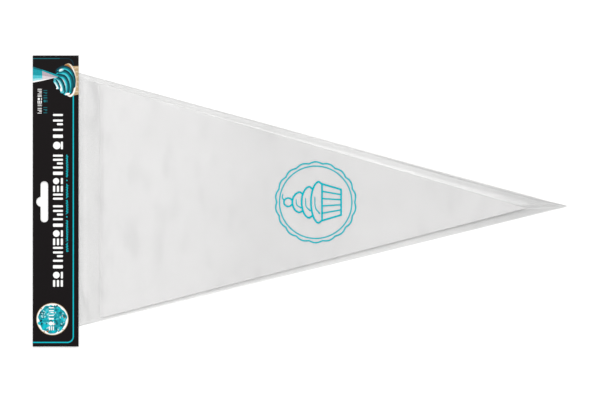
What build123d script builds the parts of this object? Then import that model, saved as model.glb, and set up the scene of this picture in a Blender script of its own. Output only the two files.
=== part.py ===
"""Retail pack of disposable piping bags, lying flat.

Ten flat bags lie on each other in a clear cone-shaped sleeve, and a folded header card with a
euro slot closes the sleeve's mouth.

Frame: +Z up through the thickness, +X from the card's fold to the sleeve's tip, +Y along the
fold. The origin is under the middle of the pack, on the surface that it lies on. Millimetres.
"""

import os
from math import radians, sin, tan

from build123d import *

# ---- driving dimensions -------------------------------------------------------------------
pack_length = 379.2  # from the card's fold to the sleeve's tip
card_height = 206.0  # along the fold
card_depth = 32.5  # from the fold to the card's free edge
board = 0.45  # thickness of the card
strip_thickness, strip_width, strip_corner = 0.10, 12.0, 1.5
strip_margin = 3.0  # each end of a strip is this far inside the sleeve's side
film = 0.05  # thickness of the sleeve's film
bag_film = 0.08  # thickness of one wall of a bag

slot_length, slot_width, slot_corner = 29.1, 5.4, 2.5  # euro slot, along and across the fold
slot_inset = 8.23  # from the fold to the slot's middle line
bump_radius, bump_inset = 3.57, 6.07  # the slot's round middle, which takes a single peg
slot_drop = 0.5  # the slot sits this far below the card's middle

sleeve_half_angle = 14.5
sleeve_tilt = 0.72  # the sleeve sits a little crooked in the card
tip_y = -3.7
tip_width = 0.5  # the sleeve's tip is almost a point
weld_width = 0.7  # flat weld along each side of the sleeve
sleeve_overlap = 19.0  # how far the sleeve reaches under the card

bag_count = 10
bag_length = 298.6
bag_mouth_width = 164.1
bag_mouth_x, bag_mouth_y = -139.2, 0.0  # middle of the mouth of the bag nearest the tip
bag_tip_drop = 5.2  # the bags' tip lies this far to -Y of the middle of their mouth
bag_seam = 2.5  # width of the welds along a bag's sides
bag_gap = 0.02  # air between the two walls of a flat bag
bag_spacing = 0.04  # air between two bags
mouth_fan = 3.2  # the stack is fanned by this much, with the lowest bag nearest the card
mouth_stagger, side_stagger = 0.15, 0.35  # each bag shifts along and aside by up to this much
mouth_phase, side_phase = 2.4, 1.7  # radians from bag to bag, so that the shifts look random

clearance = 0.05  # between the stack and the sleeve
strip_clearance = 0.03  # between the front strip and the card's front panel
stack_margin = 0.5  # the sleeve's raised part is this much wider than the stack on each side
fold_parting = 0.02  # each half of the fold ends this far from the hinge plane

step_from, step_to = 0.2, 0.9  # the back film steps down over this stretch beyond the card
rise_to = 3.6  # and the front film rises to its full height by here
stack_run_on = 0.8  # the front film stays up until this far beyond the stack's tip
raised_lean = 0.125  # the raised part ends at least this far inside the weld
tip_gap = 0.02  # between the two films at the sleeve's tip
tip_raised, tip_weld, tip_lean = 0.1, 0.0625, 0.025  # half widths and lean left at the tip

# ---- levels and places that follow ---------------------------------------------------------
fold_x = -pack_length / 2
card_edge_x = fold_x + card_depth
tip_x = pack_length / 2
sleeve_mouth_x = card_edge_x - sleeve_overlap

bag_thickness = 2 * bag_film + bag_gap
stack_height = bag_count * bag_thickness + (bag_count - 1) * bag_spacing
stack_base = film + clearance
sleeve_top = stack_base + stack_height + clearance  # underside of the raised front film

card_film_z = board + strip_thickness  # underside of the back film where the card holds it
mouth_opening = 0.10  # height of the sleeve's mouth between the card's panels
card_front_z = card_film_z + 2 * film + mouth_opening + strip_thickness
fold_z = (card_front_z + board) / 2  # height of the fold's middle
fold_outer = fold_z
fold_inner = fold_z - board


def side_y(x, side):
    """Y of the sleeve's edge at x, on side +1 or -1."""
    return tip_y + side * (tip_width / 2 + (tip_x - x) * tan(radians(sleeve_half_angle + side * sleeve_tilt)))


def bag_side_y(x, side):
    """Y of the stack's side at x, drawn on past the mouth as far as the card."""
    share = (bag_mouth_x + bag_length - x) / bag_length
    return bag_mouth_y - bag_tip_drop * (1 - share) + side * bag_mouth_width / 2 * share


# ---- header card: one sheet folded in half, made as the two panels that the fold joins -------
def card_panel(side):
    """Profile of one panel with its half of the fold; side is +1 for the front, -1 for the back."""
    bend_x = fold_x + fold_outer
    outer, inner, parting = side * fold_outer, side * fold_inner, side * fold_parting
    with BuildSketch(Plane.XZ.offset(-card_height / 2)) as profile:
        with BuildLine():
            RadiusArc((fold_x, fold_z + parting), (bend_x, fold_z + outer), side * fold_outer)
            Polyline(
                (bend_x, fold_z + outer),
                (card_edge_x, fold_z + outer),
                (card_edge_x, fold_z + inner),
                (bend_x, fold_z + inner),
            )
            RadiusArc((bend_x, fold_z + inner), (bend_x - fold_inner, fold_z + parting), -side * fold_inner)
            Line((bend_x - fold_inner, fold_z + parting), (fold_x, fold_z + parting))
        make_face()
    return profile.sketch


def euro_slot():
    """Outline of the slot, seen from above."""
    with BuildSketch(Plane.XY) as outline:
        with Locations((fold_x + slot_inset, -slot_drop)):
            RectangleRounded(slot_width, slot_length, slot_corner)
        with Locations((fold_x + bump_inset, -slot_drop)):
            Circle(bump_radius)
    return outline.sketch


with BuildPart() as header_card_front_panel:
    extrude(card_panel(1), amount=card_height)
    extrude(euro_slot(), amount=2 * fold_z, mode=Mode.SUBTRACT)

with BuildPart() as header_card_back_panel:
    extrude(card_panel(-1), amount=card_height)
    extrude(euro_slot(), amount=2 * fold_z, mode=Mode.SUBTRACT)


# ---- adhesive strips between the card and the sleeve ----------------------------------------
strip_x = (sleeve_mouth_x + card_edge_x) / 2
strip_length = 2 * min(side_y(card_edge_x, 1), -side_y(card_edge_x, -1)) - 2 * strip_margin

with BuildPart() as adhesive_strip_back:
    with BuildSketch(Plane.XY.offset(board)):
        with Locations((strip_x, 0)):
            RectangleRounded(strip_width, strip_length, strip_corner)
    extrude(amount=strip_thickness)

with BuildPart() as adhesive_strip_front:
    with BuildSketch(Plane.XY.offset(card_front_z - strip_thickness)):
        with Locations((strip_x, 0)):
            RectangleRounded(strip_width, strip_length, strip_corner)
    extrude(amount=strip_thickness - strip_clearance)


# ---- sleeve: two films welded together along both sides ---------------------------------------
# The back film lies on the surface and steps up over the card's back panel. The front film is
# low in the card, rises to the height of the stack beyond it, and comes down to the welds.
step_start = card_edge_x + step_from
step_end = card_edge_x + step_to
rise_end = card_edge_x + rise_to
stack_end = bag_mouth_x + bag_length + stack_run_on
low_top = card_film_z + film + mouth_opening
rise_share = (step_end - step_start) / (rise_end - step_start)

# each station: x, underside of the back film, underside of the raised part of the front film
stations = [
    (sleeve_mouth_x, card_film_z, low_top),
    (step_start, card_film_z, low_top),
    (step_end, 0.0, low_top + (sleeve_top - low_top) * rise_share),
    (rise_end, 0.0, sleeve_top),
    (stack_end, 0.0, sleeve_top),
    (tip_x, 0.0, film + tip_gap),
]


def raised_side_y(x, side):
    """Y of the edge of the front film's raised part, between the stack and the weld."""
    outside = side_y(x, side) - side * raised_lean
    if x == tip_x:
        return tip_y + side * tip_raised
    wanted = bag_side_y(min(x, stack_end), side) + side * (stack_margin + side_stagger)
    return min(wanted, outside - weld_width) if side > 0 else max(wanted, outside + weld_width)


with BuildPart() as sleeve_back_film:
    for x, back_z, _ in stations:
        with BuildSketch(Plane.YZ.offset(x)):
            with BuildLine():
                Polyline(
                    (side_y(x, -1), back_z),
                    (side_y(x, 1), back_z),
                    (side_y(x, 1), back_z + film),
                    (side_y(x, -1), back_z + film),
                    close=True,
                )
            make_face()
    loft(ruled=True)

with BuildPart() as sleeve_front_film:
    for x, back_z, raised_z in stations:
        weld_z = back_z + film
        weld = weld_width if x < tip_x else tip_weld
        lean = film if x < tip_x else tip_lean
        outer_low, outer_high = side_y(x, -1), side_y(x, 1)
        raised_low, raised_high = raised_side_y(x, -1), raised_side_y(x, 1)
        with BuildSketch(Plane.YZ.offset(x)):
            with BuildLine():
                Polyline(
                    (outer_low, weld_z),
                    (outer_low, weld_z + film),
                    (outer_low + weld, weld_z + film),
                    (raised_low, raised_z + film),
                    (raised_high, raised_z + film),
                    (outer_high - weld, weld_z + film),
                    (outer_high, weld_z + film),
                    (outer_high, weld_z),
                    (outer_high - weld - lean, weld_z),
                    (raised_high - lean, raised_z),
                    (raised_low + lean, raised_z),
                    (outer_low + weld + lean, weld_z),
                    close=True,
                )
            make_face()
    loft(ruled=True)


# ---- the ten bags: each a front and a back film, welded along both sides ----------------------
def bag_plane(index, height):
    """Plane of a bag's film: x from the middle of its mouth, shifted as it lies in the stack."""
    back = mouth_fan * (1 - index / (bag_count - 1)) + mouth_stagger * sin(mouth_phase * index)
    aside = side_stagger * sin(side_phase * index)
    base = stack_base + index * (bag_thickness + bag_spacing)
    return Plane(origin=(bag_mouth_x - back, bag_mouth_y + aside, base + height), z_dir=(0, 0, 1))


def bag_outline(plane):
    """The bag laid flat: a long triangle with its tip a little to one side."""
    with BuildSketch(plane) as outline:
        with BuildLine():
            Polyline(
                (0, bag_mouth_width / 2),
                (0, -bag_mouth_width / 2),
                (bag_length, -bag_tip_drop),
                close=True,
            )
        make_face()
    return outline.sketch


def bag_seams(plane):
    """The welds: the outline without the pocket that stays open at the mouth."""
    slant = bag_seam / bag_length * (bag_length**2 + (bag_mouth_width / 2) ** 2) ** 0.5
    pocket_half = bag_mouth_width / 2 - slant
    pocket_length = bag_length * pocket_half / (bag_mouth_width / 2)
    with BuildSketch(plane) as seams:
        add(bag_outline(Plane.XY))
        with BuildLine():
            Polyline(
                (0, pocket_half),
                (0, -pocket_half),
                (pocket_length, -bag_tip_drop * pocket_length / bag_length),
                close=True,
            )
        make_face(mode=Mode.SUBTRACT)
    return seams.sketch


bags = []
for index in range(bag_count):
    with BuildPart() as bag_back_film:
        extrude(bag_outline(bag_plane(index, 0)), amount=bag_film)
    with BuildPart() as bag_front_film:
        extrude(bag_outline(bag_plane(index, bag_film + bag_gap)), amount=bag_film)
        extrude(bag_seams(bag_plane(index, bag_film)), amount=bag_gap)
    bags.append((f"bag_{index + 1:02d}_back_film", bag_back_film))
    bags.append((f"bag_{index + 1:02d}_front_film", bag_front_film))


# ---- labels and files -------------------------------------------------------------------------
header_card_front_panel.part.label = "header_card_front_panel"
header_card_back_panel.part.label = "header_card_back_panel"
adhesive_strip_front.part.label = "adhesive_strip_front"
adhesive_strip_back.part.label = "adhesive_strip_back"
sleeve_front_film.part.label = "sleeve_front_film"
sleeve_back_film.part.label = "sleeve_back_film"

os.makedirs("parts", exist_ok=True)
export_step(header_card_front_panel.part, "parts/header_card_front_panel.step")
export_step(header_card_back_panel.part, "parts/header_card_back_panel.step")
export_step(adhesive_strip_front.part, "parts/adhesive_strip_front.step")
export_step(adhesive_strip_back.part, "parts/adhesive_strip_back.step")
export_step(sleeve_front_film.part, "parts/sleeve_front_film.step")
export_step(sleeve_back_film.part, "parts/sleeve_back_film.step")
for name, bag_wall in bags:
    bag_wall.part.label = name
    export_step(bag_wall.part, f"parts/{name}.step")

print(f"fold at x {fold_x:.2f}, z {fold_z:.3f}; card {2 * fold_z:.2f} thick; sleeve top {sleeve_top + film:.2f}")
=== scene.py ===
"""Looks of the piping bag pack: a folded printed card, a clear tapered sleeve and ten flat bags.

Everything is in metres in the frame of the CAD model: +X from the card's fold to the sleeve's
tip, +Y along the fold, +Z up. Printed shapes are drawn in millimetres on the flat sheet and then
laid on the folded card or on the film.
"""

import math

import bpy
import numpy as np
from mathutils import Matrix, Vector
from mathutils.geometry import delaunay_2d_cdt


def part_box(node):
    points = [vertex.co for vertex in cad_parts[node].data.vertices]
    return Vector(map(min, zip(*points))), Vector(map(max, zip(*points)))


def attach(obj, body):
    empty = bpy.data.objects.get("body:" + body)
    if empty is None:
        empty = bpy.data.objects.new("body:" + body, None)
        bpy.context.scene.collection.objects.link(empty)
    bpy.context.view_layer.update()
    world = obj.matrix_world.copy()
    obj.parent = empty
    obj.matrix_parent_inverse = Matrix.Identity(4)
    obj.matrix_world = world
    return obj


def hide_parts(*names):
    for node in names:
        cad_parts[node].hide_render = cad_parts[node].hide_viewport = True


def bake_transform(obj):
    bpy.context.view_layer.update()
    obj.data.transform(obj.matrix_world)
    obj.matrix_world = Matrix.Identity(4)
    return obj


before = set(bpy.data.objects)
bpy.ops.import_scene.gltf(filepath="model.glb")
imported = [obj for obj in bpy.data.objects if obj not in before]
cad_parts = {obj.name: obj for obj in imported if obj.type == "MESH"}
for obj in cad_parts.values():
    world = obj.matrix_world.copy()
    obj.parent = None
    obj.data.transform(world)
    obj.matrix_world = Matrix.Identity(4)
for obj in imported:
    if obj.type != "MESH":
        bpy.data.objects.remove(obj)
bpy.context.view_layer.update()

MM = 0.001

# ---- places, from the frame ------------------------------------------------------------------
front_low, front_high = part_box("header_card_front_panel")
fold_x, card_edge = front_low.x, front_high.x
card_low_y, card_high_y = front_low.y, front_high.y
fold_z = front_high.z / 2  # height of the fold's middle
BOARD = 0.45 * MM  # thickness of the card
FOLD_OUTER = fold_z
FOLD_INNER = fold_z - BOARD


def triangle(node):
    """Mouth x, mouth's two y, tip x and tip y of a long triangular film."""
    low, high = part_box(node)
    points = np.array([v.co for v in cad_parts[node].data.vertices])
    tip_y = points[points[:, 0] > high.x - 1e-6][:, 1].mean()
    return low.x, low.y, high.y, high.x, tip_y


sleeve_mouth, sleeve_low, sleeve_high, sleeve_tip, sleeve_tip_y = triangle("sleeve_back_film")
SLEEVE_FILM = 0.05 * MM
SLEEVE_TIP_HALF = 0.25 * MM
sleeve_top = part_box("sleeve_front_film")[1].z
card_film_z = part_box("adhesive_strip_back")[1].z  # underside of the back film in the card
card_film_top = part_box("adhesive_strip_front")[0].z  # top of the front film in the card
BAG_COUNT = 10
bag_names = [f"bag_{number:02d}" for number in range(1, BAG_COUNT + 1)]
bag_shapes = [triangle(name + "_back_film") for name in bag_names]
BAG_FILM = 0.08 * MM

stack_tip = max(shape[3] for shape in bag_shapes)
stack_tip_y = sum(shape[4] for shape in bag_shapes) / BAG_COUNT


def smooth(value, start, end):
    """0 before start, 1 after end, and a smooth step between them."""
    t = np.clip((value - start) / (end - start), 0, 1)
    return t * t * (3 - 2 * t)


# ---- camera, floor and light -------------------------------------------------------------------
FIELD = 424.5 * MM  # width of what the camera sees
CAMERA_HEIGHT = 3.0
CAMERA_AIM = (-0.4 * MM, 0.7 * MM)
SENSOR = 36.0

camera_data = bpy.data.cameras.new("camera")
camera_data.sensor_width = SENSOR
camera_data.lens = SENSOR * CAMERA_HEIGHT / FIELD
camera_data.clip_end = 20.0
camera = bpy.data.objects.new("camera", camera_data)
camera.location = (*CAMERA_AIM, CAMERA_HEIGHT + sleeve_top)
bpy.context.scene.collection.objects.link(camera)
bpy.context.scene.camera = camera
bpy.context.scene.view_settings.view_transform = "Standard"
bpy.context.scene.cycles.transparent_max_bounces = 128  # light crosses both faces of 22 films


def area_light(name, place, size, watts):
    """A square soft light that looks at the middle of the pack."""
    data = bpy.data.lights.new(name, "AREA")
    data.shape, data.size, data.energy = "SQUARE", size, watts
    lamp = bpy.data.objects.new(name, data)
    lamp.location = place
    lamp.rotation_mode = "QUATERNION"
    lamp.rotation_quaternion = (-Vector(place)).to_track_quat("-Z", "Y")
    bpy.context.scene.collection.objects.link(lamp)


area_light("softbox_far", (0.1, 0.95, 1.75), 1.1, 20.0)
area_light("softbox_left", (-1.0, -0.3, 1.9), 1.0, 3.0)

world = bpy.data.worlds.new("studio")
world.use_nodes = True
sky = world.node_tree.nodes["Background"]
sky.inputs["Color"].default_value = (1.0, 1.0, 1.0, 1.0)
sky.inputs["Strength"].default_value = 0.96
bpy.context.scene.world = world


# ---- materials ---------------------------------------------------------------------------------
MIX_A, MIX_B, MIX_RESULT = 6, 7, 2  # a Mix node's two colour inputs and its colour output


class Surface:
    """A Principled material that is given noise for its colour, roughness and relief."""

    def __init__(self, name, colour, roughness, **sockets):
        self.material = bpy.data.materials.new(name)
        self.material.use_nodes = True
        self.material.diffuse_color = (*colour, 1.0)
        self.tree = self.material.node_tree
        self.shader = self.tree.nodes["Principled BSDF"]
        self.shader.inputs["Base Color"].default_value = (*colour, 1.0)
        self.shader.inputs["Roughness"].default_value = roughness
        for socket, value in sockets.items():
            self.shader.inputs[socket.replace("_", " ")].default_value = value
        self.place = self.tree.nodes.new("ShaderNodeTexCoord").outputs["Object"]

    def noise(self, scale, detail=3.0, stretch=(1, 1, 1), turn=0.0):
        """Factor of a noise pattern with scale cells per metre, stretched along the axes."""
        mapping = self.tree.nodes.new("ShaderNodeMapping")
        mapping.inputs["Scale"].default_value = stretch
        mapping.inputs["Rotation"].default_value = (0, 0, turn)
        pattern = self.tree.nodes.new("ShaderNodeTexNoise")
        pattern.inputs["Scale"].default_value = scale
        pattern.inputs["Detail"].default_value = detail
        self.tree.links.new(self.place, mapping.inputs["Vector"])
        self.tree.links.new(mapping.outputs["Vector"], pattern.inputs["Vector"])
        return pattern.outputs["Fac"]

    def along(self, start, end, stops):
        """A grey that changes with x from start to end, by stops of (share, grey)."""
        axis = self.tree.nodes.new("ShaderNodeSeparateXYZ")
        share = self.tree.nodes.new("ShaderNodeMapRange")
        share.inputs["From Min"].default_value = start
        share.inputs["From Max"].default_value = end
        self.tree.links.new(self.place, axis.inputs["Vector"])
        self.tree.links.new(axis.outputs["X"], share.inputs["Value"])
        return self.ramp(share.outputs["Result"], stops)

    def times(self, colour, other, socket=None):
        """The product of two colours, sent to a socket if given."""
        node = self.tree.nodes.new("ShaderNodeMix")
        node.data_type, node.blend_type = "RGBA", "MULTIPLY"
        node.inputs["Factor"].default_value = 1.0
        self.tree.links.new(colour, node.inputs[MIX_A])
        self.tree.links.new(other, node.inputs[MIX_B])
        if socket:
            self.tree.links.new(node.outputs[MIX_RESULT], self.shader.inputs[socket])
        return node.outputs[MIX_RESULT]

    def ramp(self, factor, stops, socket=None):
        """Sends factor through a colour ramp of (position, colour or grey), to a socket if given."""
        node = self.tree.nodes.new("ShaderNodeValToRGB")
        elements = node.color_ramp.elements
        while len(elements) < len(stops):
            elements.new(0.5)
        for element, (position, colour) in zip(elements, stops):
            element.position = position
            element.color = (*colour, 1.0) if isinstance(colour, tuple) else (colour,) * 3 + (1.0,)
        self.tree.links.new(factor, node.inputs["Fac"])
        if socket:
            self.tree.links.new(node.outputs["Color"], self.shader.inputs[socket])
        return node.outputs["Color"]

    def relief(self, factor, depth, strength):
        """Bumps of this depth in metres, as high as the factor."""
        bump = self.tree.nodes.new("ShaderNodeBump")
        bump.inputs["Distance"].default_value = depth
        bump.inputs["Strength"].default_value = strength
        self.tree.links.new(factor, bump.inputs["Height"])
        self.tree.links.new(bump.outputs["Normal"], self.shader.inputs["Normal"])


def shade(colour, factor):
    """The colour made lighter or darker."""
    return tuple(min(1.0, part * factor) for part in colour)


def ink(name, colour, mottle=0.12, roughness=0.38):
    """Printed and laminated colour, with the grain of the board under it."""
    surface = Surface(name, colour, roughness, Specular_IOR_Level=0.07)
    tints = [(0.3, shade(colour, 1 - mottle)), (0.7, shade(colour, 1 + mottle))]
    surface.ramp(surface.noise(900, 4.0), tints, "Base Color")
    polish = [(0.35, roughness - 0.06), (0.7, roughness + 0.08)]
    surface.ramp(surface.noise(260, 2.0), polish, "Roughness")
    surface.relief(surface.noise(1600, 3.0), 0.00002, 0.25)
    return surface.material


def plain_board(name, colour):
    """Bare grey board, with fibres."""
    surface = Surface(name, colour, 0.9)
    fibres = surface.noise(700, 6.0, (1, 0.25, 1))
    surface.ramp(fibres, [(0.3, shade(colour, 0.86)), (0.75, colour)], "Base Color")
    surface.relief(surface.noise(1500, 4.0), 0.00004, 0.4)
    return surface.material


def clear_film(name, colour, alpha, roughness, gloss=1.0, fade=((0, 1.0), (1, 1.0)), blotch_shade=0.0):
    """Thin film that shows what is behind it, with a cloudy tint, dark blotches of painted shade and uneven
    gloss.

    fade holds (share of the pack's length, grey) by which the colour is multiplied, and the last
    argument is how much darker the blotches of painted shade are.
    """
    surface = Surface(name, colour, roughness, Alpha=alpha, IOR=1.9, Specular_IOR_Level=gloss)
    clouds = surface.noise(22, 3.0, (1, 1.5, 1), 0.3)
    cloudy = surface.ramp(clouds, [(0.3, shade(colour, 0.985)), (0.7, shade(colour, 1.015))])
    # painted shade: dark blotches that stand for the shading of the film's soft swellings
    shade_spots = surface.noise(52, 1.0, (1.9, 0.8, 1), 0.12)
    blotch_shaded = surface.times(cloudy, surface.ramp(shade_spots, [(0.53, 1.0), (0.72, 1.0 - blotch_shade)]))
    surface.times(blotch_shaded, surface.along(fold_x, -fold_x, list(fade)), "Base Color")
    haze = surface.noise(35, 3.0, (1, 3, 1), -0.2)
    surface.ramp(haze, [(0.3, roughness * 0.75), (0.7, roughness * 1.35)], "Roughness")
    surface.relief(surface.noise(42, 2.0, (1, 2.5, 1)), 0.0002, 0.12)
    return surface.material


WHITE_LEVEL = 1.45  # what a perfectly white sheet sends back under these lights


def printed(red, green, blue):
    """Colour of an ink that looks like this sRGB colour, from 0 to 255, under these lights."""
    linear = []
    for part in (red, green, blue):
        part /= 255
        linear.append((part / 12.92 if part < 0.04 else ((part + 0.055) / 1.055) ** 2.4) / WHITE_LEVEL)
    return tuple(linear)


card_inks = {
    "black": ink("card_black", (0.0040, 0.0027, 0.0030), 0.06, 0.42),
    "teal": ink("card_teal", printed(0, 196, 210)),
    "teal_mid": ink("card_teal_mid", printed(24, 160, 172)),
    "teal_dim": ink("card_teal_dim", printed(16, 112, 122)),
    "teal_deep": ink("card_teal_deep", printed(6, 62, 74)),
    "teal_light": ink("card_teal_light", printed(84, 202, 214)),
    "teal_pale": ink("card_teal_pale", printed(168, 228, 234)),
    "white": ink("card_white", (0.74, 0.74, 0.73), 0.04),
    "pink": ink("card_pink_grey", printed(190, 174, 182)),
    "pink_pale": ink("card_pink_pale", printed(224, 214, 219)),
    "beige": ink("card_beige", printed(196, 168, 128)),
    "cream": ink("card_cream", printed(226, 206, 176)),
    "orange": ink("card_orange", printed(164, 104, 40)),
    "board": plain_board("card_inside", (0.50, 0.49, 0.46)),
    "core": plain_board("card_cut_edge", (0.34, 0.33, 0.31)),
}
# how each part of the sleeve darkens along the pack, as (share of its length, grey)
SLEEVE_FADE = ((0.1, 1.0), (0.3, 0.9), (0.42, 0.64), (0.6, 0.64), (0.85, 0.74), (0.92, 0.5))
# steep slope on the stack's lower side: painted shade, darker near the mouth and towards the tip, for the
# dark line along the stack's edge
SLOPE_SHADE = ((0.125, 0.7), (0.14, 1.0), (0.5, 0.95), (0.85, 0.5))
# strip beside the plateau on the upper side: how bright its painted highlight is along the pack
SHOULDER_HIGHLIGHT = ((0.15, 0.78), (0.45, 0.86), (0.65, 1.0), (0.88, 1.0), (0.925, 0.62))
MARGIN_FADE = ((0.7, 1.0), (0.88, 0.4))
# strip at the foot of the upper slope: its painted shade of a crease deepens towards the tip
CREASE_SHADE = ((0.5, 1.0), (0.75, 0.2))
LOW_WELD_FADE = ((0.4, 1.0), (0.6, 0.6))
HIGH_WELD_FADE = ((0.45, 0.5), (0.65, 1.0))
# kind of film: name, colour, alpha, roughness, gloss, fade and how dark its blotches of painted shade are
sleeve_films = {
    "flat": clear_film("sleeve_film", (0.545, 0.54, 0.535), 0.14, 0.16, 1.0, SLEEVE_FADE, 0.27),
    # steep lower slope: lighter and clearer than the flat film, as painted light that lifts the shade the
    # slope takes
    "slope": clear_film("sleeve_slope_painted_light_and_shade", (0.84, 0.84, 0.82), 0.075, 0.3, 0.3, SLOPE_SHADE),
    # painted highlight: a lighter, more opaque strip for the bright band beside the stack's upper edge, which
    # also covers the shade there
    "shoulder": clear_film("sleeve_shoulder_painted_highlight", (0.90, 0.90, 0.89), 0.24, 0.2, 0.45, SHOULDER_HIGHLIGHT),
    # margins: lighter than the flat film, as painted light that offsets the stack's shadow on them
    "margin": clear_film("sleeve_margin_painted_light", (0.74, 0.74, 0.73), 0.11, 0.2, 0.45, MARGIN_FADE),
    # painted shade: a darker strip for the shade in a crease at the foot of the upper slope
    "crease": clear_film("sleeve_crease_painted_shade", (0.60, 0.60, 0.59), 0.15, 0.3, 0.5, CREASE_SHADE),
    "low weld": clear_film("sleeve_low_weld", (0.78, 0.78, 0.76), 0.19, 0.3, 0.5, LOW_WELD_FADE),
    "high weld": clear_film("sleeve_high_weld", (0.80, 0.80, 0.78), 0.27, 0.3, 0.5, HIGH_WELD_FADE),
}
BAG_MATERIAL = clear_film("bag_film", (0.945, 0.94, 0.94), 0.50, 0.38, 0.2)
BAG_WELD_MATERIAL = clear_film("bag_weld", (0.94, 0.935, 0.935), 0.50, 0.34, 0.2)
FILM_INK = ink("film_ink", printed(0, 186, 200), 0.10, 0.30)


# ---- meshes --------------------------------------------------------------------------------------
def add_mesh(name, vertices, faces, materials, face_materials=None, rounded=True):
    """An object made of these faces; face_materials holds the material number of each."""
    mesh = bpy.data.meshes.new(name)
    mesh.from_pydata([tuple(v) for v in vertices], [], [tuple(f) for f in faces])
    for material in materials:
        mesh.materials.append(material)
    if face_materials is not None:
        mesh.polygons.foreach_set("material_index", face_materials)
    mesh.polygons.foreach_set("use_smooth", [rounded] * len(mesh.polygons))
    mesh.validate()
    mesh.update()
    made = bpy.data.objects.new(name, mesh)
    bpy.context.scene.collection.objects.link(made)
    return made


def pouch(name, rows, pocket_columns, pocket_rows, materials, strip_slots, rounded=True):
    """A flat film pouch with an open mouth at its first row.

    rows holds, for each station along the pouch, the outer top, inner top, inner bottom and outer
    bottom points across it. The two walls are one between the side columns and pocket_columns,
    and past pocket_rows. strip_slots holds the material number of each outer strip, upper and lower.
    """
    first, last = pocket_columns
    vertices, faces, slots = [], [], {}

    def keep(points):
        start = len(vertices)
        vertices.extend(points)
        return [start + index for index in range(len(points))]

    def upward(line, next_line, j):
        """The face between two lines from point j to the next, turned up."""
        faces.append((line[j], next_line[j], next_line[j + 1], line[j + 1]))

    def downward(line, next_line, j):
        """The same face turned down; where the lines share a point it is a triangle."""
        corners = (line[j], line[j + 1], next_line[j + 1], next_line[j])
        faces.append(tuple(dict.fromkeys(corners)))

    outer_top, inner_top, inner_bottom, outer_bottom = [], [], [], []
    for index, (top, under, over, bottom) in enumerate(rows):
        outer_top.append(keep(top))
        outer_bottom.append(keep(bottom))
        if index < pocket_rows:
            upper = keep(under[first : last + 1])
            lower = [upper[0], *keep(over[first + 1 : last]), upper[-1]]
            inner_top.append(upper)
            inner_bottom.append(lower)

    strips = range(len(outer_top[0]) - 1)
    for a in range(len(rows) - 1):
        top, next_top = outer_top[a], outer_top[a + 1]
        bottom, next_bottom = outer_bottom[a], outer_bottom[a + 1]
        for j in strips:
            slots[len(faces)] = slots[len(faces) + 1] = strip_slots[j]
            upward(top, next_top, j)
            downward(bottom, next_bottom, j)
        faces.append((top[0], bottom[0], next_bottom[0], next_top[0]))
        faces.append((top[-1], next_top[-1], next_bottom[-1], bottom[-1]))
    for a in range(pocket_rows - 1):
        for j in range(last - first):
            downward(inner_top[a], inner_top[a + 1], j)
            upward(inner_bottom[a], inner_bottom[a + 1], j)
    # the far end of the pouch, and the far end of the pocket
    for j in strips:
        upward(outer_top[-1], outer_bottom[-1], j)
    for j in range(last - first):
        downward(inner_top[-1], inner_bottom[-1], j)
    # the mouth: a rim round the pocket and the solid sides
    top, bottom = outer_top[0], outer_bottom[0]
    for j in strips:
        if first <= j < last:
            downward(top[first:], inner_top[0], j - first)
            downward(inner_bottom[0], bottom[first:], j - first)
        else:
            downward(top, bottom, j)
    faces.append((top[first], inner_top[0][0], bottom[first]))
    faces.append((top[last], bottom[last], inner_top[0][-1]))
    face_slots = [slots.get(index, 0) for index in range(len(faces))]
    return add_mesh(name, vertices, faces, materials, face_slots, rounded)


def stations(*spans):
    """Places along the pouch: each span is (start, end, steps)."""
    places = [np.linspace(start, end, steps, endpoint=False) for start, end, steps in spans]
    return np.append(np.concatenate(places), spans[-1][1])


# ---- bags ----------------------------------------------------------------------------------------
BAG_SEAM = 2.5 * MM
SEAM_LINES = np.array([0, 0.45, 0.9, 1.1])  # lines along each side, as shares of the seam's width
POCKET_LINE = 2  # the number of the line that the two walls part at
INNER_LINES = 11  # lines between the seams
BAG_PRESS = 0.015 * MM  # the welds are pressed this much thinner on each face
BAG_LEAN = 0.1 * MM  # the sides end this far inside the CAD's at the tip
BAG_TIP_HALF = 0.15 * MM
BAG_POCKET = 0.95  # share of the stations that the pocket reaches over
MOUTH_SHARE = 0.02  # the mouth's wave dies out over this share of the length
WAVE, WAVE_LENGTH = 0.16 * MM, 17 * MM  # of the mouth's cut edge
WAVE_SHIFT = 1.9  # radians from bag to bag


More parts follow.
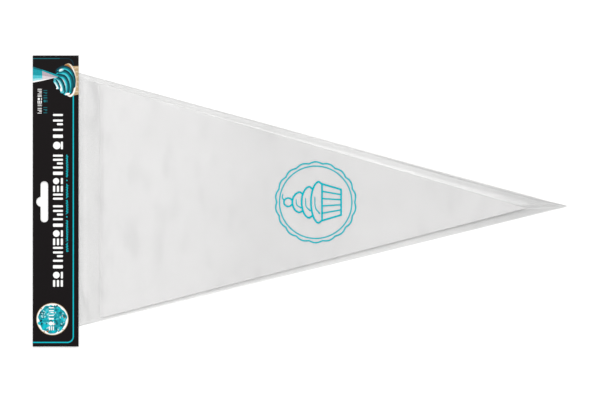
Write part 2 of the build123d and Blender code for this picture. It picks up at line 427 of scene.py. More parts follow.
def make_bag(number, shape):
    """One flat bag: two walls welded along the sides, open at the mouth, with a wavy cut edge."""
    mouth, low_y, high_y, tip, tip_y = shape
    back_node, front_node = (bag_names[number] + wall for wall in ("_back_film", "_front_film"))
    low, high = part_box(back_node)[0].z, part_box(front_node)[1].z
    rows = []
    places = stations((0, MOUTH_SHARE, 4), (MOUTH_SHARE, 0.94, 34), (0.94, 1.0, 8))
    for share in places:
        y_low = low_y + (tip_y - low_y) * share + BAG_LEAN * share
        y_high = high_y + (tip_y - high_y) * share - BAG_LEAN * share
        half = max((y_high - y_low) / 2, BAG_TIP_HALF)
        middle = (y_high + y_low) / 2
        seam = min(BAG_SEAM, (high_y - low_y) * (1 - share) * 0.4 + 0.02 * MM)
        side = SEAM_LINES * min(seam, half * 0.6)
        inner = np.linspace(-1, 1, INNER_LINES + 2)[1:-1] * (half - side[-1])
        y = np.concatenate([side - half, inner, half - side[::-1]]) + middle
        wave = WAVE * np.sin(y / WAVE_LENGTH + WAVE_SHIFT * number)
        x = mouth + (tip - mouth) * share + wave * (1 - smooth(share, 0.0, MOUTH_SHARE))
        in_weld = np.abs(y - middle) > half - side[POCKET_LINE] - 1e-9
        pressed = np.where(in_weld, BAG_PRESS, 0.0)
        levels = (high - pressed, high - BAG_FILM, low + BAG_FILM, low + pressed)
        rows.append([np.column_stack([x, y, np.broadcast_to(z, y.shape)]) for z in levels])
    weld_strips = [1] * (len(SEAM_LINES) - 1)
    slots = weld_strips + [0] * (INNER_LINES + 1) + weld_strips
    pocket = (POCKET_LINE, len(slots) - POCKET_LINE)
    pocket_rows = int(len(places) * BAG_POCKET)
    films = [BAG_MATERIAL, BAG_WELD_MATERIAL]
    bag = pouch(bag_names[number], rows, pocket, pocket_rows, films, slots, rounded=False)
    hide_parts(back_node, front_node)
    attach(bag, bag_names[number])


for bag_number, bag_shape in enumerate(bag_shapes):
    make_bag(bag_number, bag_shape)


# ---- sleeve --------------------------------------------------------------------------------------
WELD = 0.7 * MM
PUFF = 0.02 * MM  # the two films stand this far apart in the margins
STACK_GAP = 0.12 * MM  # between the stack's edges and where the film starts to fall
RIDGE_HALF = 0.45 * MM  # of the ridge just beyond the stack's tip
STEP_FROM, STEP_TO = 0.2 * MM, 0.9 * MM  # the back film steps down over this stretch past the card
RISE_TO = 4.8 * MM  # and the front film reaches its height here
FALL_FROM, FALL_TO = 0.6 * MM, 9 * MM  # past the stack's tip the front film falls over this stretch


def between(x, start_x, start_y, end_x, end_y):
    """Y at x of the straight line from start to end."""
    return start_y + (end_y - start_y) * (x - start_x) / (end_x - start_x)


def sleeve_sides(x):
    """The sleeve's two sides, as in the CAD."""
    low = between(x, sleeve_mouth, sleeve_low, sleeve_tip, sleeve_tip_y - SLEEVE_TIP_HALF)
    high = between(x, sleeve_mouth, sleeve_high, sleeve_tip, sleeve_tip_y + SLEEVE_TIP_HALF)
    return low, high


def raised_sides(x):
    """The edges of the part that the stack lifts, which run on to a ridge beyond its tip."""
    if x < stack_tip:
        under = [shape for shape in bag_shapes if shape[3] > x]
        low = min(between(x, mouth, low_y, tip, tip_y) for mouth, low_y, _, tip, tip_y in under)
        high = max(between(x, mouth, high_y, tip, tip_y) for mouth, _, high_y, tip, tip_y in under)
        return low - STACK_GAP, high + STACK_GAP
    share = (x - stack_tip) / (sleeve_tip - stack_tip)
    ridge = stack_tip_y + (sleeve_tip_y - stack_tip_y) * share
    half = RIDGE_HALF * (1 - share)
    return ridge - half, ridge + half


def base_level(x):
    """Underside of the back film: on the floor, and over the card's back panel in the card."""
    return card_film_z * (1 - smooth(x, card_edge + STEP_FROM, card_edge + STEP_TO))


def raised_level(x):
    """Top of the front film over the stack, without its ripples."""
    rise = smooth(x, card_edge + STEP_FROM, card_edge + RISE_TO)
    fall = smooth(x, stack_tip + FALL_FROM, stack_tip + FALL_TO)
    over_stack = card_film_top + (sleeve_top - card_film_top) * rise
    return over_stack + (3 * SLEEVE_FILM - over_stack) * fall


# soft swellings of the film: x, y, length, width, turn in degrees and height, in millimetres
SWELLINGS = [
    (-100, -58, 26, 7, 20, 0.35),
    (-68, -28, 30, 9, -35, 0.25),
    (-58, 50, 24, 6, 12, 0.30),
    (-95, 66, 14, 4, -14, 0.35),
    (60, 12, 45, 10, -8, 0.22),
    (95, -18, 40, 6, 13, 0.22),
    (-20, -10, 60, 22, 80, 0.18),
    (-120, 5, 60, 9, 88, 0.20),
]
# ripples all over the film: height, share of x and of y in their phase, length and shift
WAVES = [
    (0.05, 0.9, 0.45, 13, 0.0),
    (0.03, 0.3, -1.0, 7, 1.0),
]
CALM_FROM = 130 * MM  # towards the stack's tip the film lies ever closer to it from here


def ripples(x, y):
    """Height that the film stands clear of the stack."""
    total = 0.0
    for height, share_x, share_y, length, shift in WAVES:
        crest = np.sin((x * share_x + y * share_y) / (length * MM) + shift)
        total = total + height * (1 + crest) * MM
    for middle_x, middle_y, length, width, turn, height in SWELLINGS:
        angle = math.radians(turn)
        dx, dy = x - middle_x * MM, y - middle_y * MM
        along = (dx * math.cos(angle) + dy * math.sin(angle)) / (length * MM)
        across = (dy * math.cos(angle) - dx * math.sin(angle)) / (width * MM)
        total = total + height * MM * np.exp(-(along**2) - across**2)
    free = smooth(x, card_edge + 6 * MM, card_edge + 20 * MM)
    return total * free * (1 - smooth(x, CALM_FROM, stack_tip))


def film_top(x, y):
    """Top of the front film over the stack, with its ripples."""
    return raised_level(x) + ripples(x, y)


# the strips between the lines along the sleeve, from -Y to +Y: steps across, and kind of film
STRIPS = (
    (2, "low weld"),
    (10, "margin"),
    (7, "slope"),
    (2, "slope"),
    (56, "flat"),
    (2, "flat"),
    (6, "shoulder"),
    (14, "margin"),
    (2, "crease"),
    (2, "flat"),
    (2, "high weld"),
)
LOW_SLOPE = 0.5 * MM  # width of the slope on the stack's lower side
LEAST_SLOPE = 0.3 * MM  # width that each slope keeps
FLAT_EDGE = 0.4 * MM  # strip of the flat part beside each slope
SHOULDER = 1.0 * MM  # upper part of the slope on the stack's upper side
CREASE = 0.9 * MM  # width of the strip outside that slope whose darker film is painted shade of a crease
STREAK, STREAK_WIDTH, STREAK_BEND = 0.03 * MM, 0.23 * MM, 40 * MM  # of the streaks in the margins


def sleeve_lines(x):
    """Y of the lines that part the strips at x.

    Near the tip, where the sleeve is narrow, each measure gives way to a share of its width.
    """
    low, high = sleeve_sides(x)
    width = high - low
    raised_low, raised_high = raised_sides(x)
    weld = min(WELD, 0.1 * width)
    least = min(LEAST_SLOPE, 0.02 * width)
    high_margin = (1.5 + smooth(x, 0, 110 * MM)) * MM  # grows by 1 mm towards the tip
    foot_low = max(raised_low - LOW_SLOPE, low + weld * 1.3)
    foot_high = high - max(min(high_margin, 0.2 * width), weld * 1.3)
    raised_low = min(max(raised_low, foot_low + least), low + 0.45 * width)
    foot_low = min(foot_low, raised_low - 0.01 * width)
    raised_high = min(max(raised_high, low + 0.5 * width), foot_high - least)
    edge = min(FLAT_EDGE, 0.3 * (raised_high - raised_low))
    flat_part = (raised_low, raised_low + edge, raised_high - edge, raised_high)
    shoulder = raised_high + min(SHOULDER, 0.4 * (foot_high - raised_high))
    crease = min(foot_high + CREASE, high - weld * 1.15)
    return low, low + weld, foot_low, *flat_part, shoulder, foot_high, crease, high - weld, high


def sleeve_row(x):
    """The four rows of points across the sleeve at x, from its lower to its upper side."""
    lines = sleeve_lines(x)
    low, low_inside, foot_low, raised_low, _, _, raised_high, _, foot_high, _, high_inside, high = lines
    y = stations(*[(start, end, steps) for start, end, (steps, _) in zip(lines, lines[1:], STRIPS)])
    base, top = base_level(x), film_top(x, y)
    welded = base + 2 * SLEEVE_FILM
    steep = smooth(y, foot_low, raised_low)
    gentle = 1 - np.clip((y - raised_high) / (foot_high - raised_high), 0, 1) ** 1.8
    lift = np.minimum(steep, gentle)
    inside = (y > low_inside + 1e-7) & (y < high_inside - 1e-7)
    from_side = np.minimum(y - low, high - y)
    streaks = STREAK * (1 + np.sin(from_side / STREAK_WIDTH + 2 * np.sin(x / STREAK_BEND))) * (1 - lift)
    streaks = streaks * smooth(x, card_edge + 4 * MM, card_edge + 20 * MM)
    outer_top = welded + (top - welded) * lift + np.where(inside, PUFF + streaks, 0)
    under = np.where(inside, outer_top - SLEEVE_FILM, base + SLEEVE_FILM)
    over = np.full_like(y, base + SLEEVE_FILM)
    bottom = np.full_like(y, base)
    return [np.column_stack([np.full_like(y, x), y, z]) for z in (outer_top, under, over, bottom)]


def make_sleeve():
    """The outer sleeve: two films welded along the sides, lifted over the bags, open in the card."""
    places = stations(
        (sleeve_mouth, card_edge + STEP_FROM, 8),
        (card_edge + STEP_FROM, card_edge + 3.6 * MM, 10),
        (card_edge + 3.6 * MM, stack_tip, 120),
        (stack_tip, sleeve_tip - 2 * MM, 16),
        (sleeve_tip - 2 * MM, sleeve_tip, 4),
    )
    rows = [sleeve_row(x) for x in places]
    kinds = list(sleeve_films)
    slots = [kinds.index(kind) for steps, kind in STRIPS for _ in range(steps)]
    weld_steps = STRIPS[0][0]  # the films part where the welds end
    pocket = (weld_steps, len(slots) - weld_steps)
    sleeve = pouch("sleeve", rows, pocket, len(places) - 4, list(sleeve_films.values()), slots)
    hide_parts("sleeve_front_film", "sleeve_back_film")
    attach(sleeve, "sleeve")


make_sleeve()


# ---- drawing: flat shapes in millimetres, painted in order ---------------------------------------
def circle(x, y, radius_x, radius_y=None, steps=28, turn=0.0):
    """A circle or an ellipse, turned by some degrees."""
    radius_y = radius_x if radius_y is None else radius_y
    c, s = math.cos(math.radians(turn)), math.sin(math.radians(turn))
    points = []
    for step in range(steps):
        a = 2 * math.pi * step / steps
        px, py = radius_x * math.cos(a), radius_y * math.sin(a)
        points.append((x + px * c - py * s, y + px * s + py * c))
    return points


def rounded_box(x0, y0, x1, y1, radius, steps=4):
    """A rectangle with round corners."""
    points = []
    corners = ((x1, y1, 0), (x0, y1, 90), (x0, y0, 180), (x1, y0, 270))
    for x, y, start in corners:
        cx = x - math.copysign(radius, x - (x0 + x1) / 2)
        cy = y - math.copysign(radius, y - (y0 + y1) / 2)
        for step in range(steps + 1):
            a = math.radians(start + 90 * step / steps)
            points.append((cx + radius * math.cos(a), cy + radius * math.sin(a)))
    return points


def curve(points, steps=8):
    """A smooth line through points, as a Catmull-Rom spline."""
    p = [np.array(point, float) for point in points]
    p = [2 * p[0] - p[1], *p, 2 * p[-1] - p[-2]]
    line = []
    for a, b, c, d in zip(p, p[1:], p[2:], p[3:]):
        second, third = 2 * a - 5 * b + 4 * c - d, 3 * b - a - 3 * c + d
        for step in range(steps):
            t = step / steps
            line.append(0.5 * (2 * b + (c - a) * t + second * t**2 + third * t**3))
    return [tuple(point) for point in [*line, p[-2]]]


CAP_STEPS = 6  # sides of a line's round end


def stroke(line, width, end_width=None):
    """Outline of a line with round ends, width across at its start and end_width at its end."""
    end_width = width if end_width is None else end_width
    p = np.array(line, float)
    d = np.gradient(p, axis=0)
    d /= np.linalg.norm(d, axis=1)[:, None] + 1e-12
    n = np.column_stack([-d[:, 1], d[:, 0]])
    half = np.linspace(width, end_width, len(p))[:, None] / 2
    caps = []
    for index, sign in ((-1, 1), (0, -1)):
        radius = half[index, 0]
        start = math.atan2(sign * n[index, 1], sign * n[index, 0])
        turns = [start - math.pi * k / CAP_STEPS for k in range(1, CAP_STEPS)]
        caps.append([(p[index, 0] + radius * math.cos(a), p[index, 1] + radius * math.sin(a)) for a in turns])
    left, right = p + n * half, p - n * half
    return [tuple(q) for q in left] + caps[0] + [tuple(q) for q in right[::-1]] + caps[1]


def closed_stroke(line, width, pieces=4):
    """Outlines that together follow a closed line."""
    line = list(line)
    size = len(line) // pieces
    shapes = []
    for piece in range(pieces):
        start = piece * size
        end = len(line) if piece == pieces - 1 else (piece + 1) * size
        part = line[start : end + 1] if end < len(line) else line[start:] + line[:1]
        shapes.append(stroke(part, width))
    return shapes


def signed_area(outline):
    """Area of an outline, negative if it runs clockwise."""
    x, y = np.array(outline).T
    return 0.5 * float(np.sum(x * np.roll(y, -1) - y * np.roll(x, -1)))


JOIN = 1e-5  # points closer than this are one


def triangulate(shapes, extra_lines=(), extra_points=()):
    """Cuts the plane along all the shapes, which are (key, outline) in painting order.

    Returns the points, and for each triangle the keys of the shapes over it in that order.
    """
    points, edges, faces = [], [], []
    for _, outline in shapes:
        if signed_area(outline) < 0:
            outline = outline[::-1]
        start = len(points)
        points.extend(Vector(point) for point in outline)
        faces.append(list(range(start, len(points))))
    for a, b in extra_lines:
        points.extend((Vector(a), Vector(b)))
        edges.append((len(points) - 2, len(points) - 1))
    points.extend(Vector(point) for point in extra_points)
    made, _, triangles, _, _, owners = delaunay_2d_cdt(points, edges, faces, 0, JOIN)
    keys = [[shapes[index][0] for index in sorted(owner)] for owner in owners]
    return [tuple(point) for point in made], triangles, keys


def solid_sheet(name, points, triangles, keys, place, materials, under, side):
    """A closed thin solid on the triangles: place(x, y) gives its upper and lower point.

    keys holds the material of each triangle's upper face; under and side are those of the rest.
    """
    names = list(materials)
    used = sorted({index for corners in triangles for index in corners})
    number = {index: row for row, index in enumerate(used)}
    pairs = [place(*points[index]) for index in used]
    count = len(used)
    vertices = [pair[0] for pair in pairs] + [pair[1] for pair in pairs]
    faces, slots, rim = [], [], {}
    for corners, key in zip(triangles, keys):
        a, b, c = (number[index] for index in corners)
        faces.append((a, b, c))
        slots.append(names.index(key))
        faces.append((a + count, c + count, b + count))
        slots.append(names.index(under))
        for edge in ((a, b), (b, c), (c, a)):
            if edge[::-1] in rim:
                del rim[edge[::-1]]
            else:
                rim[edge] = True
    for a, b in rim:
        faces.append((a, a + count, b + count, b))
        slots.append(names.index(side))
    return add_mesh(name, vertices, faces, list(materials.values()), slots, rounded=False)


# ---- card artwork, drawn on the unfolded sheet -----------------------------------------------------
# On the sheet, x is the distance from the fold, positive on the front, and y is along the fold.
CARD_DEPTH = (card_edge - fold_x) / MM
CARD_HALF = (card_high_y - card_low_y) / MM / 2
BEND = math.pi / 2 * FOLD_OUTER / MM  # length of a quarter of the fold's outside
SHEET_HALF = CARD_DEPTH - FOLD_OUTER / MM + BEND
GROWTH = SHEET_HALF - CARD_DEPTH  # what the bend adds to distances from the fold
SLOT_X, SLOT_Y = 8.23, -0.5  # middle of the euro slot, and its other sizes
SLOT_HALF_WIDTH, SLOT_HALF_LENGTH, SLOT_CORNER = 2.7, 14.55, 2.5
BUMP_X, BUMP_RADIUS = 6.07, 3.57  # the slot's round middle
CREASE_X = 0.7  # the fold's outside is seen from the front as this wide
BORDER_INSET, BORDER_TOP, BORDER_BOTTOM, BORDER_RADIUS = 3.75, 100.8, -100.1, 4.2
BORDER_WIDTH, BORDER_THIN, BORDER_THIN_TOP = 0.82, 0.4, 0.5


def front(outline):
    """Moves an outline drawn from the front's left edge, as seen, to the sheet."""
    stretch = CREASE_X + GROWTH
    return [(x + GROWTH if x > CREASE_X else x * stretch / CREASE_X, y) for x, y in outline]


def back(outline):
    """Moves an outline drawn from the back's fold to the sheet, mirrored."""
    return [(-(x + GROWTH), y) for x, y in outline]


def euro_slot():
    """The two outlines that make the slot together."""
    low_x, high_x = SLOT_X - SLOT_HALF_WIDTH, SLOT_X + SLOT_HALF_WIDTH
    low_y, high_y = SLOT_Y - SLOT_HALF_LENGTH, SLOT_Y + SLOT_HALF_LENGTH
    box = rounded_box(low_x, low_y, high_x, high_y, SLOT_CORNER, 6)
    return [box, circle(BUMP_X, SLOT_Y, BUMP_RADIUS, steps=36)]


def border():
    """The frame line: its lower arm with most of the free edge, its upper bend, its upper arm."""
    right, top, bottom = CARD_DEPTH - BORDER_INSET, BORDER_TOP, BORDER_BOTTOM
    bend_x, bend_top, bend_bottom = right - BORDER_RADIUS, top - BORDER_RADIUS, bottom + BORDER_RADIUS
    turn = np.linspace(0.15, math.pi / 2, 8)
    bend = [(BORDER_RADIUS * math.sin(a), BORDER_RADIUS * math.cos(a)) for a in turn]
    lower = [(0.0, bottom), (12.0, bottom), (bend_x, bottom)]
    lower += [(bend_x + x, bend_bottom - y) for x, y in bend]
    lower += [(right, y) for y in np.linspace(bend_bottom + 8, bend_top - 19, 10)]
    upper = [(right, bend_top - 19), (right, bend_top - 9), (right, bend_top - 1)]
    upper += [(bend_x + x, bend_top + y) for x, y in bend[::-1]]
    upper += [(18.0, top)]
    arm = [(19.0, top), (9.0, top), (0.0, top)]
    return stroke(lower, BORDER_WIDTH), stroke(upper, BORDER_THIN), stroke(arm, BORDER_THIN_TOP)


def marks(x0, x1, y0, y1, letters, width):
    """A word as a row of plain marks, read upwards: pairs of bars, stacks, discs and thick bars."""
    pitch = (y1 - y0 + width * 0.8) / letters
    shapes = []
    for index in range(letters):
        start, end = y0 + pitch * index, y0 + pitch * (index + 1) - width * 0.8
        middle, corner = (start + end) / 2, width * 0.3
        kind = (index * 7 + letters * 3) % 5
        if kind == 0:
            for level in (0, 0.39, 0.78):
                x = x0 + (x1 - x0) * level
                shapes.append(rounded_box(x, start, x + (x1 - x0) * 0.22, end, corner))
        elif kind == 2:
            shapes.append(circle(x0 + (end - start) / 2, middle, (end - start) / 2, steps=20))
            shapes.append(rounded_box(x1 - width, start, x1, end, corner))
        elif kind == 4:
            shapes.append(rounded_box(x0, middle - width * 0.8, x1, middle + width * 0.8, corner))
        else:
            cut = x0 + (x1 - x0) * (0.4 if kind == 1 else 0.0)
            shapes.append(rounded_box(x0, start, x1, start + width, corner))
            shapes.append(rounded_box(cut, end - width, x1, end, corner))
    return shapes


def scribble(x, y0, y1, width, height, seed):
    """A meaningless wavy pen line that reads upwards along x."""
    line, step, y = [], 0, y0
    while y < y1:
        reach = height * (0.55 + 0.45 * math.sin(1.7 * step + seed))
        line.append((x + (reach if step % 2 else -0.8 * reach), y))
        y += 0.42 + 0.16 * math.sin(2.9 * step + seed)
        step += 1
    return stroke(curve(line, 4), width)


def words():
    """Plain bars and scribbles where the print has its words."""
    shapes = []
    for y0, y1, letters in ((-60.7, -3.0, 10), (0.9, 32.8, 6), (36.6, 61.6, 4)):
        shapes += [("white", mark) for mark in marks(14.4, 21.4, y0, y1, letters, 1.45)]
    for seed, (y0, y1) in enumerate(((-35.9, -29.4), (-28.4, -13.2), (-9.2, 0.6), (2.0, 12.4), (16.8, 32.7))):
        shapes.append(("teal", scribble(24.3, y0, y1, 0.36, 1.0, seed)))
    shapes += [("teal", circle(24.2, y, 0.5, steps=10)) for y in (-11.2, 14.6)]
    for y0, y1, letters in ((62.0, 65.8, 2), (67.2, 79.3, 6)):
        shapes += [("white", mark) for mark in marks(3.5, 6.4, y0, y1, letters, 0.45)]
    for y0, y1, letters in ((62.2, 66.4, 2), (69.8, 78.4, 4)):
        shapes += [("teal_dim", mark) for mark in marks(7.6, 10.3, y0, y1, letters, 0.45)]
    return shapes


def aside(line, distance):
    """The line moved to its left by distance."""
    p = np.array(line, float)
    d = np.gradient(p, axis=0)
    d /= np.linalg.norm(d, axis=1)[:, None] + 1e-12
    return [tuple(q) for q in p + distance * np.column_stack([-d[:, 1], d[:, 0]])]


def rope(points, width, body="teal", side="teal_light", shine="teal_pale"):
    """One rope of piped cream, lit from its left: shadow, body, lighter side and glints."""
    line = curve(points)
    count = len(line)
    early, late = line[: count * 2 // 3], line[count // 2 :]
    return [
        ("teal_deep", stroke(aside(line, 0.10 * width), width * 1.12, width)),
        (body, stroke(aside(line, -0.06 * width), width * 0.84, width * 0.8)),
        ("teal_dim", stroke(aside(line, 0.24 * width), width * 0.22, width * 0.26)),
        (side, stroke(aside(line[2:-2], -0.20 * width), width * 0.40, width * 0.46)),
        (shine, stroke(aside(late[1:-1], -0.24 * width), width * 0.20, width * 0.34)),
        ("white", stroke(aside(early[2:-1], -0.30 * width), width * 0.10, width * 0.18)),
        ("white", stroke(aside(late[-6:-1], -0.20 * width), width * 0.26, width * 0.10)),
    ]


def picture():
    """A generic swirl of cream in a wafer cup, piped by a nozzle, lying on its side."""
    shapes = [("beige", [(28.5, 74.6), (32.6, 75.4), (32.6, 95.6), (28.0, 95.4)])]
    for y in (77, 80.5, 84, 87.5, 91, 94):
        shapes.append(("cream", stroke(curve([(29.8, y), (31.0, y + 0.5), (32.6, y + 0.2)]), 0.6)))
    shapes += [
        ("cream", circle(25.9, 85.5, 5.2, 11.9, 48, 4)),
        ("white", circle(25.7, 85.4, 4.9, 11.6, 48, 4)),
        ("beige", circle(25.1, 85.9, 4.75, 11.3, 48, 4)),
        ("orange", circle(24.7, 85.8, 4.6, 10.9, 48, 4)),
        ("teal_deep", circle(22.9, 85.2, 5.8, 9.8, 40, 12)),
    ]
    shapes += rope([(18.6, 91.6), (22.4, 93.4), (26.2, 91.2), (28.0, 86.6), (28.0, 81.6)], 4.0)
    shapes += rope([(18.4, 89.6), (22.6, 90.2), (25.6, 87.2), (26.6, 82.4), (26.0, 77.6)], 4.2)
    bright = ("teal_light", "teal_pale", "white")
    shapes += rope([(18.0, 87.6), (21.6, 86.9), (23.6, 83.6), (24.0, 79.6), (23.4, 76.4)], 3.8)
    shapes += rope([(16.6, 86.0), (19.0, 84.6), (20.6, 81.4), (21.2, 77.8)], 3.9, *bright)
    shapes += rope([(15.9, 84.6), (17.2, 82.6), (18.2, 80.2)], 2.6, *bright)
    shapes += [
        ("teal_pale", circle(20.2, 92.6, 1.9, 0.9, 18, 20)),
        ("white", circle(19.9, 92.9, 1.2, 0.45, 14, 22)),
        ("white", circle(17.4, 79.8, 0.9, 0.5, 12, 30)),
        ("white", circle(24.6, 75.7, 1.8, 0.8, 16, 8)),
    ]
    start, joint = (0, 83.7), (6.8, 85.1)  # the bag's lit side, from the fold to the nozzle
    nozzle = [joint, (18.0, 87.7), (18.4, 88.4), (18.0, 89.1), (6.8, 93.0)]
    shapes += [("teal_dim", [start, joint, (6.8, 93.0), (0, 95.3)]), ("teal_mid", nozzle)]
    # both are shaded by ever narrower and lighter wedges: colour on the bag, on the nozzle, width
    wedges = (
        ("teal_mid", "pink", 0.88),
        ("teal_light", "pink_pale", 0.46),
        ("teal_pale", "pink_pale", 0.24),
        ("white", "white", 0.10),
    )
    for key, metal, share in wedges:
        edge = (6.8, 85.1 + 7.9 * share)
        shapes.append((key, [start, joint, edge, (0, 83.7 + 11.6 * share)]))
        reach = 7.4 + 10.9 * share**0.25
        shapes.append((metal, [joint, (reach, 85.1 + 2.6 * (reach - 6.8) / 11.2), edge]))
    return shapes


def badge():
    """Round badge: a pale rim round mottled teal, with plain marks in white."""
    x, y, radius = 13.96, -83.6, 11.4
    shapes = [("beige", circle(x, y, radius, steps=64)), ("white", circle(x, y, radius - 0.4, steps=64))]
    blob = []
    for a in np.linspace(0, 2 * math.pi, 72, endpoint=False):
        reach = 9.9 + 0.35 * math.sin(3 * a + 0.6) + 0.3 * math.sin(7 * a) + 0.2 * math.sin(13 * a)
        blob.append((x + reach * math.cos(a), y + reach * math.sin(a)))
    shapes.append(("teal_mid", blob))
    random = np.random.default_rng(7)
    # colour, number and size of the patches and then of the specks
    patches = (("teal", 26, 2.2), ("teal_dim", 20, 1.7), ("teal_light", 26, 1.3), ("teal_mid", 16, 1.4))
    specks = (("teal_pale", 22, 0.8), ("pink_pale", 12, 0.6), ("teal_deep", 9, 0.7))
    for key, count, size in patches + specks:
        for _ in range(count):
            angle = random.uniform(0, 2 * math.pi)
            reach = 9.0 * math.sqrt(random.uniform(0.02, 1))
            length = random.uniform(0.5, 1.0) * size
            width = length * random.uniform(0.4, 0.9)
            turn = random.uniform(0, 180)
            middle = (x + reach * math.cos(angle), y + reach * math.sin(angle))
            shapes.append((key, circle(*middle, length, width, 12, turn)))
    # place and size of the dark chips and of the bright ones at the rim
    chips = ((-8.2, 4.8, 0.8), (-8.0, -1.2, 1.1), (-7.6, -3.4, 0.9), (3.2, 9.4, 0.8), (4.6, -8.6, 0.6))
    for dx, dy, size in chips:
        shapes.append(("teal_deep", circle(x + dx, y + dy, size, size * 0.7, 12, 40)))
    chips = ((-7.9, 7.4, 0.5), (-3.4, -8.7, 0.7), (-5.8, -9.0, 0.5), (8.6, 1.0, 0.5), (7.4, -7.4, 0.4))
    for dx, dy, size in chips:
        shapes.append(("orange", circle(x + dx, y + dy, size, steps=10)))
    shapes += [("white", mark) for mark in marks(x - 2.5, x + 1.0, y - 7.9, y + 8.4, 5, 0.75)]
    return shapes


def back_print():
    """A frame line and plain bars on the back, which has no picture."""
    shapes = [("teal", back(outline)) for outline in border()]
    for row in range(5):
        x0 = 13.5 + 2.9 * row
        for y0, y1, letters in ((-70, -38, 9), (-35, -9, 7), (-5, 20, 7), (24, 60 - 6 * row, 8)):
            shapes += [("white", back(mark)) for mark in marks(x0, x0 + 1.5, y0, y1, letters, 0.4)]
    return shapes


def fold_card(x, y):
    """A point of the sheet on the folded card, as its outer and inner surface, in metres."""
    radii = (FOLD_OUTER, FOLD_INNER)
    centre = fold_x + FOLD_OUTER
    if abs(x) < BEND:
        c, s = math.cos(x * MM / FOLD_OUTER), math.sin(x * MM / FOLD_OUTER)
        return [(centre - radius * c, y * MM, fold_z + radius * s) for radius in radii]
    side = 1 if x >= 0 else -1
    along = centre + (abs(x) - BEND) * MM
    return [(along, y * MM, fold_z + side * radius) for radius in radii]


def make_card():
    """One printed sheet, folded."""
    corners = ((-1, -1), (1, -1), (1, 1), (-1, 1))
    sheet = [(x * SHEET_HALF, y * CARD_HALF) for x, y in corners]
    shapes = [("black", sheet)]
    for key, outline in zip(("teal", "teal_deep", "teal_dim"), border()):
        shapes.append((key, front(outline)))
    shapes += [(key, front(outline)) for key, outline in picture() + words() + badge()]
    shapes += back_print()
    shapes += [("hole", move(outline)) for outline in euro_slot() for move in (front, back)]
    bends = [BEND * step / 5 for step in range(-5, 6)]
    lines = [((x, -CARD_HALF), (x, CARD_HALF)) for x in bends]
    grid = [(side * x, y) for side in (-1, 1) for x in (4, 12, 20, 28) for y in range(-96, 97, 8)]
    points, triangles, owners = triangulate(shapes, lines, grid)
    kept, keys = [], []
    for corners, owner in zip(triangles, owners):
        if owner and owner[0] == "black" and "hole" not in owner:
            kept.append(corners)
            keys.append(owner[-1])
    card = solid_sheet("header_card", points, kept, keys, fold_card, card_inks, "board", "core")
    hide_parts("header_card_front_panel", "header_card_back_panel")
    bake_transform(card)


make_card()


# ---- emblem on the film ----------------------------------------------------------------------------
EMBLEM_X, EMBLEM_Y, EMBLEM_RADIUS = 10.7, -0.9, 29.0
RING_SCALLOPS = 18
INK_THICKNESS = 0.015 * MM
INK_GAP = 0.006 * MM  # keeps the ink clear of the film's facets


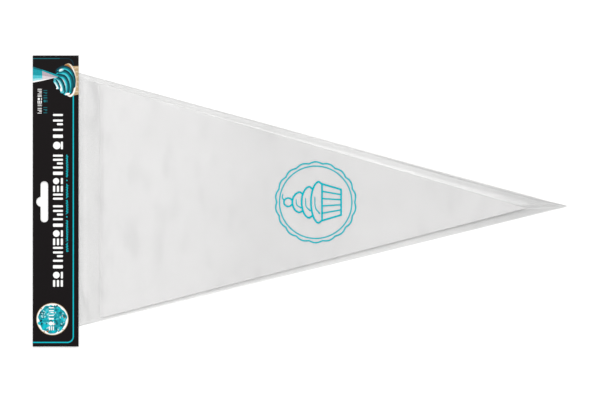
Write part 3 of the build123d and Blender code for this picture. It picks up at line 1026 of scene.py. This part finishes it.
def emblem():
    """Line drawing of a scalloped ring round a cupcake, both generic."""
    cx, cy, radius = EMBLEM_X, EMBLEM_Y, EMBLEM_RADIUS
    shapes = []
    angles = np.linspace(0, 2 * math.pi, 288, endpoint=False)
    scallops = [(radius - 1.5 + 1.1 * abs(math.sin(RING_SCALLOPS / 2 * a))) for a in angles]
    for reaches, width in ((scallops, 1.0), ([radius - 3.4] * len(angles), 0.85)):
        ring = [(cx + r * math.cos(a), cy + r * math.sin(a)) for r, a in zip(reaches, angles)]
        shapes += closed_stroke(ring, width, 8)
    # a cupcake drawn with its top to the left: pleated case, three tiers of cream and a cherry
    case = [(cx + 4.5, cy - 13), (cx + 18, cy - 9), (cx + 18, cy + 9), (cx + 4.5, cy + 13)]
    for a, b in zip(case, case[1:] + case[:1]):
        shapes.append(stroke([a, ((a[0] + b[0]) / 2, (a[1] + b[1]) / 2), b], 1.25))
    for t in (-0.6, -0.2, 0.2, 0.6):
        pleat = [(cx + 4.5, cy + 13 * t), (cx + 11, cy + 11 * t), (cx + 18, cy + 9 * t)]
        shapes.append(stroke(pleat, 1.0))
    for step, half in enumerate((14.5, 11.0, 7.2)):
        base = cx + 4.0 - 6.6 * step
        tier = [
            (base, cy - half + 1.2),
            (base - 2.6, cy - half),
            (base - 5.6, cy - half * 0.72),
            (base - 7.2, cy - half * 0.2),
            (base - 7.0, cy + half * 0.35),
            (base - 5.0, cy + half * 0.8),
            (base - 2.2, cy + half),
            (base, cy + half - 1.4),
        ]
        shapes.append(stroke(curve(tier, 5), 1.3))
        fold = [
            (base - 1.2, cy - half * 0.55),
            (base - 4.2, cy - half * 0.25),
            (base - 4.6, cy + half * 0.25),
        ]
        shapes.append(stroke(curve(fold, 5), 0.95, 0.6))
    shapes += closed_stroke(circle(cx - 19.5, cy, 3.0, steps=32), 1.15, 4)
    stalk = [(cx - 22.2, cy + 1.0), (cx - 23.6, cy + 3.4), (cx - 23.2, cy + 5.6)]
    shapes.append(stroke(curve(stalk, 5), 0.95, 0.7))
    return shapes


def on_film(x, y):
    """A point of the print on the film, as its upper and lower surface, in metres."""
    level = float(film_top(x * MM, y * MM)) + PUFF + INK_GAP
    return [(x * MM, y * MM, level + INK_THICKNESS), (x * MM, y * MM, level)]


def make_emblem():
    """The mark printed on the sleeve's front film."""
    points, triangles, owners = triangulate([("ink", outline) for outline in emblem()])
    kept = [corners for corners, owner in zip(triangles, owners) if owner]
    keys = ["ink"] * len(kept)
    mark = solid_sheet("film_emblem", points, kept, keys, on_film, {"ink": FILM_INK}, "ink", "ink")
    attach(mark, "sleeve")


make_emblem()


# ---- adhesive strips keep their CAD shape ------------------------------------------------------------
TAPE_MATERIAL = clear_film("adhesive_tape", (0.80, 0.78, 0.68), 0.55, 0.45)
for strip in ("adhesive_strip_front", "adhesive_strip_back"):
    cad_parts[strip].data.materials.clear()
    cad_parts[strip].data.materials.append(TAPE_MATERIAL)


# ---- floor ---------------------------------------------------------------------------------------------
FLOOR_HALF = 3.0
FLOOR_LEVEL = -0.02 * MM  # just under the pack


def make_floor():
    """A plain pale sheet of paper under everything."""
    paper = Surface("floor_paper", (0.85, 0.85, 0.85), 0.85)
    paper.ramp(paper.noise(6, 2.0), [(0.3, 0.84), (0.7, 0.86)], "Base Color")
    sides = ((-1, -1), (1, -1), (1, 1), (-1, 1))
    corners = [(x * FLOOR_HALF, y * FLOOR_HALF, FLOOR_LEVEL) for x, y in sides]
    floor = add_mesh("floor", corners, [(0, 1, 2, 3)], [paper.material], rounded=False)


make_floor()
